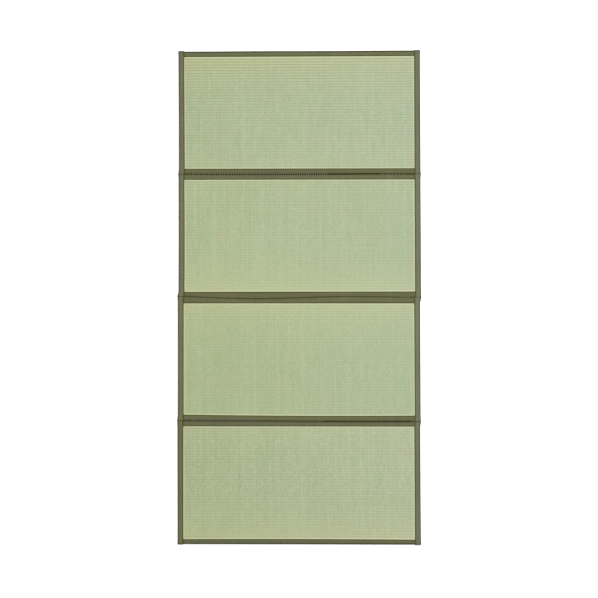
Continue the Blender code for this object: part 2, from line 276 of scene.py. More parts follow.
class Graph:  # one material and its nodes
    def __init__(self, name):
        self.material = bpy.data.materials.new(name)
        self.material.use_nodes = True
        self.tree = self.material.node_tree
        self.shader = self.tree.nodes["Principled BSDF"]

    def add(self, kind, settings=None, values=None):
        node = self.tree.nodes.new(kind)
        for key, setting in (settings or {}).items():
            setattr(node, key, setting)
        pairs = values.items() if isinstance(values, dict) else enumerate(values or [])
        for key, value in pairs:
            self.feed(node.inputs[key], value)
        return node

    def feed(self, socket, value):
        if isinstance(value, Value):
            self.tree.links.new(value.socket, socket)
        elif isinstance(value, bpy.types.NodeSocket):
            self.tree.links.new(value, socket)
        else:
            socket.default_value = value

    def value(self, socket):
        return Value(self, socket)

    def mix(self, amount, first, second, blend="MIX"):
        settings = {"data_type": "RGBA", "blend_type": blend}
        node = self.add("ShaderNodeMix", settings)
        self.feed(node.inputs[0], amount)
        for socket, color in ((node.inputs[6], first), (node.inputs[7], second)):
            self.feed(socket, (*color, 1.0) if isinstance(color, tuple) else color)
        return node.outputs[2]

    def noise(self, place, scale, detail=2.0, roughness=0.5):
        node = self.add(
            "ShaderNodeTexNoise",
            {"noise_dimensions": "3D"},
            {"Vector": place, "Scale": scale, "Detail": detail, "Roughness": roughness},
        )
        return self.value(node.outputs["Fac"])

    def chance(self, first, second):  # one random number for each pair of whole numbers
        pair = self.add("ShaderNodeCombineXYZ", None, [first, second, 0.37])
        node = self.add("ShaderNodeTexWhiteNoise", {"noise_dimensions": "3D"})
        self.feed(node.inputs["Vector"], pair.outputs[0])
        return self.value(node.outputs["Value"])

    def stretched(self, place, scale):
        node = self.add("ShaderNodeMapping", None, {"Vector": place, "Scale": scale})
        return node.outputs[0]

    def between(self, amount, start, stop, way="SMOOTHSTEP"):  # 0 at start, 1 at stop
        values = {"Value": amount, "From Min": start, "From Max": stop}
        node = self.add("ShaderNodeMapRange", {"interpolation_type": way}, values)
        return self.value(node.outputs["Result"])

    def mark(self, name):
        node = self.add("ShaderNodeAttribute", {"attribute_name": name})
        return self.value(node.outputs["Fac"])

    def bump(self, height, distance, strength):
        node = self.add(
            "ShaderNodeBump",
            None,
            {"Height": height, "Distance": distance, "Strength": strength},
        )
        self.feed(self.shader.inputs["Normal"], node.outputs[0])


# rush finish

rushLook = {
    "shade": (0.300, 0.350, 0.205),  # darker stems
    "light": (0.400, 0.455, 0.290),  # paler stems
    "straw": (0.450, 0.470, 0.250),  # ripe ends of the stems
    "green": (0.300, 0.385, 0.200),
    "brown": (0.380, 0.365, 0.225),
    "paleHighlight": (0.560, 0.570, 0.380),  # painted highlight along the bindings, where the rush bends up and catches the light
    "paleShare": 0.8,
    "roughness": 0.55,
    "roughSpread": 0.16,
    "specular": 0.35,
    "bump": (0.0004, 0.6),
    # how light the rush stays in the painted shade of the valleys between ridges, per panel
    "valleyTone": (0.85, 0.92, 0.93, 0.90),
    "tint": ((1.03, 1.045, 1.05), (0.995, 1.025, 0.975), (0.98, 1.01, 0.93), (1.02, 1.02, 0.985)),
    "uneven": (1.0, 1.0, 1.0, 1.25),
    # how much red, green and blue grow from left to right, per metre
    "lean": ((0.02, 0.01, 0.13), (-0.01, -0.01, 0.10), (0.01, 0.01, 0.13), (0.07, 0.05, 0.18)),
    # how much darker the painted valley shade is at the far end of each panel, and how much more
    # the stems' tone varies there
    "farDepth": (0.17, 0.05, 0.05, 0.0),
    # how ripe the stems are at the far and the near end of each panel
    "farRipe": (0.82, 0.15, 0.60, 0.25),
    "nearRipe": (0.20, 0.60, 0.12, 0.62),
    "ripeReach": 7.0,  # ridges
    # stretch and detail of the patterns that are drawn out along the stems
    "grains": {
        "streak": ((95.0, 3.0, 1.0), 3.0),
        "patch": ((5.0, 3.5, 1.0), 3.0),
        "long": ((210.0, 1.2, 1.0), 1.0),
        "bundle": ((34.0, 10.0, 1.0), 3.0),
        "fibre": ((2600.0, 60.0, 1.0), 1.0),
    },
    # how much each pattern changes the tone
    "shares": {"bar": 0.45, "stem": 0.45, "streak": 0.40, "long": 0.75, "patch": 0.40},
    # where a bundle starts and ends to turn, and by how much at most
    "greener": (0.50, 0.70, 0.45),
    "browner": (0.46, 0.28, 0.50),
    "rareStem": 0.965,  # above this a stem has gone brown by itself
    "valleyEase": (0.02, 0.24),  # in ridges
    "cleftStart": 0.55,  # from the middle of a stem to its edge
    # how dark the painted shade between two stems gets
    "cleftShade": 0.28,
}


def rushFinish(panel, ridges):
    graph = Graph(f"rush{panel + 1}")
    coords = graph.add("ShaderNodeTexCoord")
    split = graph.add("ShaderNodeSeparateXYZ", None, [coords.outputs["UV"]])
    stem = graph.value(split.outputs[0])
    ridge = graph.value(split.outputs[1])
    row = ridge.maths("FLOOR")
    odd = row.maths("FLOORED_MODULO", 2.0)
    shifted = (stem - odd + 1.0) * 0.5
    bar = shifted.maths("FLOOR")
    across = (shifted - bar) * 2.0 - 1.0
    number = bar * 2.0 + odd
    stemTone = graph.chance(number, 5.0)
    barTone = graph.chance(number, row)
    place = coords.outputs["Object"]
    shares = rushLook["shares"]

    def grain(name):
        stretch, detail = rushLook["grains"][name]
        return graph.noise(graph.stretched(place, stretch), 1.0, detail)

    streak = grain("streak")
    fromFar = (ridge / -rushLook["ripeReach"]).maths("EXPONENT")
    fromNear = ((ridge - ridges) / rushLook["ripeReach"]).maths("EXPONENT")
    farDepth = rushLook["farDepth"][panel]
    tone = (barTone - 0.5) * (fromFar * (farDepth * 3.0) + shares["bar"])
    tone = tone + stemTone * shares["stem"] + streak * shares["streak"]
    tone = tone + grain("long") * shares["long"] + grain("patch") * shares["patch"] - 1.0
    tone = tone * rushLook["uneven"][panel] + 0.5
    tint = rushLook["tint"][panel]
    ends = [tuple(a * b for a, b in zip(rushLook[key], tint)) for key in ("shade", "light")]
    color = graph.mix(tone, *ends)
    # some stems stay greener and some go brown, in bundles a few centimetres wide
    bundle = grain("bundle")
    for turn, turned in (("greener", "green"), ("browner", "brown")):
        start, stop, most = rushLook[turn]
        color = graph.mix(graph.between(bundle, start, stop) * most, color, rushLook[turned])
    ripe = fromFar * rushLook["farRipe"][panel] + fromNear * rushLook["nearRipe"][panel]
    ripe = ripe * (stemTone * 0.5 + 0.75)
    color = graph.mix(ripe.maths("MINIMUM", 1.0), color, rushLook["straw"])
    rare = graph.chance(number, 11.0).maths("GREATER_THAN", rushLook["rareStem"])
    rare = rare * streak * 0.5
    color = graph.mix(rare, color, rushLook["brown"])
    # painted highlight on the rush beside the bindings, where it bends up and catches the light
    color = graph.mix(graph.mark("edge") * rushLook["paleShare"], color, rushLook["paleHighlight"])
    # painted shade: darker where a stem goes down between two ridges, and between two stems
    rise = ridge - row
    toValley = rise.maths("MINIMUM", 1.0 - rise)
    deep = fromFar * farDepth + (1.0 - rushLook["valleyTone"][panel])
    valley = 1.0 - (1.0 - graph.between(toValley, *rushLook["valleyEase"])) * deep
    toCleft = graph.between(across.maths("ABSOLUTE"), rushLook["cleftStart"], 1.0)
    shadeFactor = valley * (1.0 - toCleft * rushLook["cleftShade"])
    toRight = graph.value(graph.add("ShaderNodeSeparateXYZ", None, [place]).outputs[0])
    levels = [shadeFactor * (toRight * lean + 1.0) for lean in rushLook["lean"][panel]]
    gray = graph.add("ShaderNodeCombineColor", None, levels)
    color = graph.mix(1.0, color, gray.outputs[0], "MULTIPLY")
    graph.feed(graph.shader.inputs["Base Color"], color)
    rough = stemTone * rushLook["roughSpread"] + rushLook["roughness"]
    graph.feed(graph.shader.inputs["Roughness"], rough)
    height = (1.0 - across * across) * 0.7 + grain("fibre") * 0.3
    graph.bump(height, *rushLook["bump"])
    graph.shader.inputs["Specular IOR Level"].default_value = rushLook["specular"]
    return graph.material


# rush panels: a woven face of stems that cross ridges, on a slab that fills the bindings

rush = {
    "ridges": 40,
    # where the far and the near rim of each panel lie, counted in ridges
    "counts": ((0.12, 40.08), (0.19, 39.97), (0.25, 39.93), (0.16, 39.88)),
    "stemWidth": 0.0016,
    "tuck": 0.004,  # the weave runs this far in under the side bindings
    "endTuck": 0.0015,  # and this far under the far and near bindings
    "crest": middle + half + underOne,
    "valleyDepth": 0.0008,
    "stemRelief": 0.00045,
    "edgeFade": (0.0021, 0.00588),  # the painted highlight along the bindings fades out over this
    "stemUneven": 0.00010,  # in height, from stem to stem
    "barUneven": 0.00006,  # and from bar to bar of one stem
    "wander": 0.00002,  # how far a stem goes aside from row to row
    "wanderMost": 0.0004,
    "borderDrop": 0.0004,  # the weave's border lies lower, under the rims
    "rowMargin": 0.15,  # least room between the border and the next row, in thirds of a ridge
    "pressEase": (-0.009, -0.003),  # from the rim, where the face is pressed down at a corner
    "pressMargin": 0.001,
    "underColumns": 33,
    "diveEnd": 0.0010,  # the slab's corners are let down under crossed bindings
    "diveStart": 0.0040,
    "sideDive": (0.0006, 0.0036),  # the same along the sides
    "cornerCut": (0.0042, 0.0022),
    "sideStop": 0.0365,  # past the spread ends of the side bindings
    "stops": (-0.40, -0.27, -0.13, 0.0, 0.13, 0.27, 0.40),
}


def letDown(panel, x, y):  # how far the face is pressed down near a panel's corners
    total = np.zeros(np.shape(x))
    for end in ("far", "near"):
        rim = between(mat["rims"][panel][end], acrossPlace(x))
        alongPart = ease(outward[end] * (y - rim), *rush["pressEase"])
        for side in ("left", "right"):
            corner = rimX(panel, side, cornerY(panel, end, side))
            toSide = outward[side] * (x - corner)
            start = -rush["diveStart"] - rush["pressMargin"]
            total += alongPart * ease(toSide, start, -rush["diveEnd"])
    return total * (underOne - underTwo)


def wovenRows(panel):  # two rows on each ridge and one in each valley
    first, last = rush["counts"][panel]
    rims = mat["rims"][panel]
    pitch = (rims["far"][0] - rims["near"][0]) / (last - first)
    low = first - rush["endTuck"] / pitch
    high = last + rush["endTuck"] / pitch
    margin = rush["rowMargin"]
    thirds = range(math.ceil(low * 3 + margin), math.floor(high * 3 - margin) + 1)
    return [low, *[third / 3 for third in thirds], high]


def faceGrid(panel, columns, rows):
    first, last = rush["counts"][panel]
    rims = mat["rims"][panel]
    x = np.tile(columns, (len(rows), 1))
    v = np.tile(np.array(rows)[:, None], (1, len(columns)))
    far = between(rims["far"], acrossPlace(x))
    near = between(rims["near"], acrossPlace(x))
    y = far + (near - far) * (v - first) / (last - first)
    return x, y, v


def gridFaces(start, rowCount, columnCount):
    index = np.arange(rowCount * columnCount).reshape(rowCount, columnCount) + start
    corners = [index[:-1, :-1], index[:-1, 1:], index[1:, 1:], index[1:, :-1]]
    return np.stack(corners, axis=-1).reshape(-1, 4).tolist(), index


def edgeMarks(panel, x, y):  # 1 along the bindings, 0 over the rest of the face: where the rush gets its painted highlight
    rims = mat["rims"][panel]
    across = acrossPlace(x)
    inside = np.minimum(between(rims["far"], across) - y, y - between(rims["near"], across))
    far = sum(rims["far"]) / 2
    along = (far - y) / (far - sum(rims["near"]) / 2)
    inside = np.minimum(inside, x - between(rims["left"], along))
    inside = np.minimum(inside, between(rims["right"], along) - x)
    return 1 - ease(inside, *rush["edgeFade"])


def weaveReach(panel):  # x where the weave starts and stops, under the side bindings
    rims = mat["rims"][panel]
    return min(rims["left"]) - rush["tuck"], max(rims["right"]) + rush["tuck"]


def wovenFace(panel):
    rng = np.random.default_rng(100 + panel)
    low, high = weaveReach(panel)
    count = int((high - low) / rush["stemWidth"]) + 2
    stems = np.arange(count)
    columns = low + stems * rush["stemWidth"]
    rows = wovenRows(panel)
    x, y, v = faceGrid(panel, columns, rows)
    ridge = np.floor(v + 1e-6)
    crestRow = (v - ridge) > 0.1
    over = np.where((stems[None, :] + ridge) % 2 == 0, 1.0, -1.0)
    stemHeight = rng.normal(0, 1, count)[None, :] * rush["stemUneven"]
    barHeight = rng.normal(0, 1, v.shape) * rush["barUneven"]
    wander = np.cumsum(rng.normal(0, 1, v.shape), axis=0) * rush["wander"]
    wander -= wander.mean(0)[None, :]
    x = x + np.clip(wander, -rush["wanderMost"], rush["wanderMost"])
    z = np.full(v.shape, rush["crest"] - rush["stemRelief"] / 2)
    z += np.where(crestRow, over * rush["stemRelief"] / 2 + stemHeight + barHeight, 0.0)
    z -= np.where(crestRow, 0.0, rush["valleyDepth"])
    border = (v == rows[0]) | (v == rows[-1])
    z = np.where(border, rush["crest"] - rush["borderDrop"], z)
    z -= letDown(panel, x, y)
    edge = edgeMarks(panel, x, y).ravel()
    points = np.stack([x, y, z], axis=-1).reshape(-1, 3)
    uv = np.stack([np.tile(stems, (len(rows), 1)), v], axis=-1).reshape(-1, 2)
    return points, uv, edge, len(rows), count


def plainUnderside(panel):
    low, high = weaveReach(panel)
    columns = np.linspace(low, high, rush["underColumns"])
    rows = wovenRows(panel)
    x, y, v = faceGrid(panel, columns, rows)
    crestRow = (v - np.floor(v + 1e-6)) > 0.1
    floorSide = 2 * middle - rush["crest"]
    z = np.where(crestRow, floorSide, floorSide + rush["valleyDepth"])
    z += letDown(panel, x, y)
    points = np.stack([x, y, z], axis=-1).reshape(-1, 3)
    uv = np.stack([(x - low) / rush["stemWidth"], v], axis=-1).reshape(-1, 2)
    return points, uv, len(rows), len(columns)


def endOutline(panel, end):  # slab outline along a long edge: x, y, radius, wall x, wall y
    row = []
    wallStep = outward[end] * (mat["cloth"] + mat["gap"])

    def add(x, radius, rounding):
        edge = edgeY(panel, end, x)
        row.append((x, edge - outward[end] * rounding, radius, x, edge - wallStep))

    for side in ("left", "right"):
        y = cornerY(panel, end, side)
        x = coreX(panel, side, y)
        cut = rush["cornerCut"]
        wall = (x + outward[side] * cut[0], y + outward[end] * cut[1])
        low = rimX(panel, side, y) - outward[side] * rush["diveEnd"]
        high = rimX(panel, side, y) - outward[side] * rush["diveStart"]
        if side == "left":
            row.append((x, y, underTwo, *wall))
            add(low, underTwo, underOne)
            add(high, underOne, mat["edgeRound"])
            for stop in rush["stops"]:
                add(stop, underOne, mat["edgeRound"])
        else:
            add(high, underOne, mat["edgeRound"])
            add(low, underTwo, underOne)
            row.append((x, y, underTwo, *wall))
    return row


def sideOutline(panel, side):  # the same along a side, from far to near
    far = cornerY(panel, "far", side)
    near = cornerY(panel, "near", side)
    farRim = rimY(panel, "far", outward[side] * mat["lineReach"])
    nearRim = rimY(panel, "near", outward[side] * mat["lineReach"])
    deep, free = rush["sideDive"]
    stops = [
        (farRim - deep, underTwo),
        (farRim - free, underOne),
        (far - rush["sideStop"], underOne),
        ((far + near) / 2, underOne),
        (near + rush["sideStop"], underOne),
        (nearRim + free, underOne),
        (nearRim + deep, underTwo),
    ]
    column = []
    for y, radius in stops:
        x = coreX(panel, side, y)
        column.append((x, y, radius, x + outward[side] * underOne, y))
    return column


def rushPanel(panel):
    points, uv, edge, rowCount, columnCount = wovenFace(panel)
    faces, top = gridFaces(0, rowCount, columnCount)
    under, underUv, underRows, underColumns = plainUnderside(panel)
    underFaces, bottom = gridFaces(len(points), underRows, underColumns)
    faces += [face[::-1] for face in underFaces]
    points = np.concatenate([points, under]).tolist()
    uv = np.concatenate([uv, underUv]).tolist()
    outline = (
        endOutline(panel, "far") + sideOutline(panel, "right")
        + endOutline(panel, "near")[::-1] + sideOutline(panel, "left")[::-1]
    )
    count = len(outline)
    start = len(points)
    edge = edge.tolist() + [0.0] * (len(under) + 4 * count)
    for sign in (1, -1):
        points += [[x, y, middle + sign * (half + radius)] for x, y, radius, *wall in outline]
        points += [[*wall, middle + sign * half] for x, y, radius, *wall in outline]
    uv += [[0.0, 0.0]] * (4 * count)
    loops = [[start + part * count + index for index in range(count)] for part in range(4)]
    topRim, topWall, lowRim, lowWall = loops
    for line, other in ((topRim, topWall), (topWall, lowWall), (lowWall, lowRim)):
        for index in range(count):
            after = (index + 1) % count
            faces.append((line[index], line[after], other[after], other[index]))
    endCount = len(endOutline(panel, "far"))
    sideCount = len(sideOutline(panel, "left"))
    for rim, grid in ((topRim, top), (lowRim, bottom)):
        farLine = rim[:endCount]
        rightLine = rim[endCount - 1:endCount + sideCount + 1]
        nearLine = rim[endCount + sideCount:2 * endCount + sideCount][::-1]
        leftLine = (rim[2 * endCount + sideCount - 1:] + rim[:1])[::-1]
        faces += bridge(points, farLine, grid[0].tolist(), 0)
        faces += bridge(points, rightLine, grid[:, -1].tolist(), 1)
        faces += bridge(points, nearLine, grid[-1].tolist(), 0)
        faces += bridge(points, leftLine, grid[:, 0].tolist(), 1)
    finish = rushFinish(panel, rush["ridges"])
    name = f"rushPanel{panel + 1}"
    piece = makePiece(name, points, faces, uv, {"edge": edge}, finish)
    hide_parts(f"rush_panel_{panel + 1}")
    print("woven", piece.name, len(piece.data.polygons), "faces")
    return piece


# binding finish

clothLook = {
    "yarn": 0.0008,  # yarn spacing
    "roughness": 0.85,
    "sheen": 0.04,
    "specular": 0.12,
    "bump": (0.00025, 0.5),
    "base": 0.385,  # tone without any pattern
    "shares": {"yarn": 0.14, "faded": 0.30, "slub": 0.25, "mottle": 0.40},
    "gapeShade": 0.75,  # how much lighter the painted seam shade is at a stitch, and darker between two
    "gapeEase": (0.06, 0.45),
    "side": (0.134, 0.132, 0.076),
    "end": (0.117, 0.119, 0.060),
    "foldShade": (0.058, 0.068, 0.020),  # painted shade in the fold beside the rush and round the edge
    "seam": (0.014, 0.012, 0.005),  # painted shade deep in the groove between two panels
    "tones": {
        "left": (1.03, 1.06, 1.05, 0.97),
        "right": (1.07, 1.15, 1.16, 1.05),
        "far": (1.09, 1.06, 0.99, 1.00),
        "near": (0.95, 0.97, 1.01, 0.97),
    },
    "blues": {
        "left": (0.98, 0.97, 0.87, 0.80),
        "right": (1.13, 1.13, 1.13, 1.14),
        "far": (1.02, 1.02, 0.96, 0.99),
        "near": (0.93, 0.93, 0.95, 0.97),
    },
}


def clothFinish(name, color):
    graph = Graph(name)
    coords = graph.add("ShaderNodeTexCoord")
    split = graph.add("ShaderNodeSeparateXYZ", None, [coords.outputs["UV"]])
    along = graph.value(split.outputs[0])
    across = graph.value(split.outputs[1])
    warp = along / clothLook["yarn"]
    weft = across / clothLook["yarn"]
    warpTone = graph.chance(warp.maths("FLOOR"), 3.0)
    weftTone = graph.chance(weft.maths("FLOOR"), 8.0)
    faded = graph.noise(graph.stretched(coords.outputs["Object"], (9.0, 9.0, 9.0)), 1.0, 3.0)
    slub = graph.noise(graph.stretched(coords.outputs["UV"], (60.0, 900.0, 1.0)), 1.0, 2.0)
    mottle = graph.noise(graph.stretched(coords.outputs["UV"], (170.0, 120.0, 1.0)), 1.0, 1.0)
    edge = graph.mark("edge")
    shares = clothLook["shares"]
    tone = (warpTone + weftTone) * shares["yarn"] + faded * shares["faded"]
    tone = tone + slub * shares["slub"] + mottle * shares["mottle"] + clothLook["base"]
    tone = tone * graph.mark("tone")
    blue = tone * graph.mark("blue")
    gray = graph.add("ShaderNodeCombineColor", None, [tone, tone, blue])
    # painted seam shade: lighter at each stitch of a seam, where the cloth is drawn in, and
    # darker between two of them, where it gapes
    gapeShade = (along * (2 * math.pi / stitch["pitch"])).maths("COSINE") * -clothLook["gapeShade"]
    edge = edge + gapeShade * graph.mark("sewn") * graph.between(edge, *clothLook["gapeEase"])
    # painted shade: the edge mark mixes in the fold shade up to 1 and the seam shade from 1 to 2
    shade = graph.mix(graph.between(edge, 0.0, 1.0, "LINEAR"), color, clothLook["foldShade"])
    shade = graph.mix(graph.between(edge, 1.0, 2.0, "LINEAR"), shade, clothLook["seam"])
    shade = graph.mix(1.0, shade, gray.outputs[0], "MULTIPLY")
    graph.feed(graph.shader.inputs["Base Color"], shade)
    over = (warp * math.pi).maths("SINE") * (weft * math.pi).maths("SINE")
    graph.bump(over * 0.5 + slub * 0.5, *clothLook["bump"])
    graph.shader.inputs["Roughness"].default_value = clothLook["roughness"]
    graph.shader.inputs["Sheen Weight"].default_value = clothLook["sheen"]
    graph.shader.inputs["Specular IOR Level"].default_value = clothLook["specular"]
    return graph.material


# bindings: cloth folded round an edge, its rim turned under and a little puffed

binding = {
    # places from the rim to the rounded line, and how much painted shade the cloth gets there
    "top": ((0.05, 1.1), (0.12, 1.0), (0.22, 0.6), (0.36, 0.08), (0.56, 0.0), (0.78, 0.05)),
    "low": (0.78, 0.40, 0.10),
    "lowShade": 0.3,  # the painted shade on the lower rounding is at most this dark
    # painted shade on the cloth under the mat
    "underShade": 0.2,
    # how much painted shade the rounded edge gets, from the top face outwards
    "arcs": {
        "far": (0.0, 1.1, 1.9, 2.0, 1.5, 0.6, 0.3),
        "near": (0.0, 0.4, 1.7, 2.0, 1.5, 0.6, 0.3),
        "seam": (0.06, 0.14, 0.44, 1.15, 1.9, 2.0, 2.0),
        "closed": (0.10, 0.14, 0.20, 0.30, 0.45, 0.6, 0.7),
        "left": (0.02, 0.16, 0.95, 1.6, 1.4, 0.6, 0.3),
        "right": (0.05, 0.22, 0.85, 1.4, 1.3, 0.6, 0.3),
    },
    "square": 0.80,  # under 1 the rounding is boxier than a quarter circle
    "proud": 0.0010,  # the cloth's outer fold stands this far out past the filling
    "innerSteps": 4,
    "puff": 0.00028,
    "dip": 0.00022,  # where the sewing holds the rim down
    "dipPlace": 0.16,
    "dipWidth": 0.07,
    "turn": (0.36, 0.24),  # how far the rim's fold stands out, of the cloth and of the rise
    "rimRound": 0.06,
    "ripple": 0.00014,
    "rimRipple": 0.00022,
    "step": 0.006,  # distance between sections
    "touch": 0.00018,  # half the air between two panels at a seam
    "endAngles": (90, 72, 54, 36, 18, 0),
    "endRound": (0.0024, 0.0012),  # outside and inside of a closed end
    "endReach": 0.006475,
    "sideStart": 0.4,  # past this share of the rounding a closed end counts as its edge
    "lowFade": 0.25,  # what is left of the edge's painted shade halfway down
    "diveSteps": (0.0001, 0.0006, 0.0020),  # where a long binding dives under a side binding
    "diveStart": 0.0035,
    "matEnds": ((0, 1), (3, -1)),  # panel and end that lie on the mat's own outline
    "cutWidth": {"far": 0.0635, "near": 0.0635, "left": 0.0655, "right": 0.0655},
    "turnedIn": 0.02,  # both ends together
    "lines": ("far", "seam", "closed", "seam", "near"),
    # how much painted shade the closed ends get at each line across the mat: on their faces, on
    # their edges
    "endShades": {
        "left": ((1.2, 1.6), (1.2, 2.0), (0.15, 1.9), (1.9, 2.0), (0.8, 1.8)),
        "right": ((0.8, 1.6), (0.9, 2.0), (0.0, 1.5), (2.0, 1.8), (0.8, 1.8)),
    },
}


def roundedCorner(place):  # 0 at the edge of the mat, 1 on its face
    angle = place * math.pi / 2
    return max(math.cos(angle), 0.0) ** binding["square"], math.sin(angle) ** binding["square"]


def foldLoop(rim, core, way, outer, inner, swell, arc):
    # closed section of the folded cloth: across, height, how much painted shade. outer and inner
    # are the reach and the rise of its two faces past the rounded line
    outerReach, outerRise = outer
    innerReach, innerRise = inner
    top = middle + half + outerRise
    bottom = middle - half - outerRise
    wall = outerRise - innerRise
    turn = min(wall * binding["turn"][0], outerRise * binding["turn"][1])
    rounding = wall * binding["rimRound"]
    points = [(rim, top - wall, 1.0), (rim - way * turn, top - wall * 0.5, 1.0)]
    points.append((rim, top - rounding, 1.0))
    for place, shade in binding["top"]:
        lift = swell * math.sin(math.pi * place) ** 0.7
        held = math.exp(-((place - binding["dipPlace"]) / binding["dipWidth"]) ** 2)
        height = top + lift - binding["dip"] * held * (swell > 0)
        points.append((rim + (core - rim) * place, height, shade))
    steps = len(arc) - 1
    for sign in (1, -1):
        for step in range(steps + 1):
            index = step if sign > 0 else steps - step
            along, up = roundedCorner(1 - index / steps)
            across = core + way * outerReach * along
            shade = arc[index] if sign > 0 else min(arc[index], binding["lowShade"])
            points.append((across, middle + sign * (half + outerRise * up), shade))
    for place in binding["low"]:
        points.append((rim + (core - rim) * place, bottom, binding["underShade"]))
    points.append((rim, bottom + rounding, 1.0))
    points.append((rim - way * turn, bottom + wall * 0.5, 1.0))
    outerCount = len(points)
    points.append((rim, bottom + wall, 1.0))
    for sign in (-1, 1):
        for step in range(binding["innerSteps"] + 1):
            index = step if sign > 0 else binding["innerSteps"] - step
            along, up = roundedCorner(index / binding["innerSteps"])
            across = core + way * innerReach * along
            points.append((across, middle + sign * (half + innerRise * up), 1.0))
    lengths = [0.0]
    for first, second in zip(points, points[1:]):
        lengths.append(lengths[-1] + math.dist(first[:2], second[:2]))
    return points, lengths, outerCount


def sweptFaces(ringCount, size):
    faces = []
    for ring in range(ringCount - 1):
        for index in range(size):
            after = (index + 1) % size
            low = ring * size
            high = low + size
            faces.append((low + index, low + after, high + after, high + index))
    return faces


def clothMarks(edge, where, panel):
    tone = clothLook["tones"][where][panel]
    return {"edge": edge, "tone": tone, "blue": clothLook["blues"][where][panel]}


def longStations(panel, end):  # x, radius and how much the edge is let out, left to right
    stations = []
    for side in ("left", "right"):
        y = cornerY(panel, end, side)
        rim = rimX(panel, side, y)
        inward = -outward[side]
        middleRadius = (underOne + mat["edgeRound"]) / 2
        under, risen, halfway = binding["diveSteps"]
        ends = [
            (coreX(panel, side, y), underOne, 0.0),
            (rim + inward * under, underOne, 0.0),
            (rim + inward * risen, underOne, 1.0),
            (rim + inward * halfway, middleRadius, 1.0),
            (rim + inward * binding["diveStart"], mat["edgeRound"], 1.0),
        ]
        if side == "left":
            stations += ends
            first = ends[-1][0]
        else:
            last = ends[-1][0]
            count = int((last - first) / binding["step"])
            places = np.linspace(first, last, count)[1:-1]
            stations += [(x, mat["edgeRound"], 1.0) for x in places]
            stations += ends[::-1]
    return stations


def sewnLook(line, x):  # how strong the painted shade gaping between stitches is, how dark the painted seam shade is
    for seam, face, stretches in stitch["seams"]:
        if seam == line and face == "top":
            return stretchLook(x, stretches)[2:]
    return 0.0, 1.0


def longBinding(panel, end, finish):
    way = outward[end]
    line = panel if end == "far" else panel + 1
    stations = longStations(panel, end)
    plainArc = binding["arcs"][binding["lines"][line]]
    points = []
    uv = []
    edge = []
    sewn = []
    seed = 10 * panel + (1 if end == "far" else 2)
    for x, radius, letOut in stations:
        raised = (radius - underOne) / (mat["edgeRound"] - underOne)
        rim = rimY(panel, end, x) + binding["rimRipple"] * ripple(seed, x) * raised
        core = edgeY(panel, end, x) - way * radius
        swell = (binding["puff"] + binding["ripple"] * ripple(seed + 50, x)) * raised
        room = binding["proud"]
        if mat["across"][line][1] > 0:
            room = abs(lineY(line, x) - edgeY(panel, end, x)) - binding["touch"]
        reach = radius + max(room, 0.0) * letOut
        outer = (reach, radius)
        inner = (reach - mat["cloth"], radius - mat["cloth"])
        share, shadeFactor = sewnLook(line, x)
        arc = [shade * shadeFactor for shade in plainArc]
        loop, lengths, outerCount = foldLoop(rim, core, way, outer, inner, swell, arc)
        points += [(x, y, z) for y, z, shade in loop]
        sewn += [share if way * (y - core) > -1e-6 else 0.0 for y, z, shade in loop]
        edge += [shade for y, z, shade in loop]
        uv += [(x, length) for length in lengths]
    size = len(loop)
    faces = sweptFaces(len(stations), size)
    faces.append(tuple(range(size)))
    faces.append(tuple(range(len(points) - size, len(points))))
    name = f"{end}Binding{panel + 1}"
    piece = makePiece(name, points, faces, uv, clothMarks(edge, end, panel), finish)
    sewnMark = piece.data.attributes.new(name="sewn", type="FLOAT", domain="POINT")
    sewnMark.data.foreach_set("value", sewn)
    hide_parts(f"{end}_binding_{panel + 1}")
    declareStrip(stations[-1][0] - stations[0][0])
    return piece


def declareStrip(length):
    cut = round(length + binding["turnedIn"], 3)


def sideStations(panel, side):
    far = cornerY(panel, "far", side)
    near = cornerY(panel, "near", side)
    stations = [(far, angle, 1) for angle in binding["endAngles"]]
    count = int((far - near) / binding["step"])
    stations += [(y, 0, 0) for y in np.linspace(far, near, count)]
    return stations + [(near, angle, -1) for angle in binding["endAngles"][::-1]]


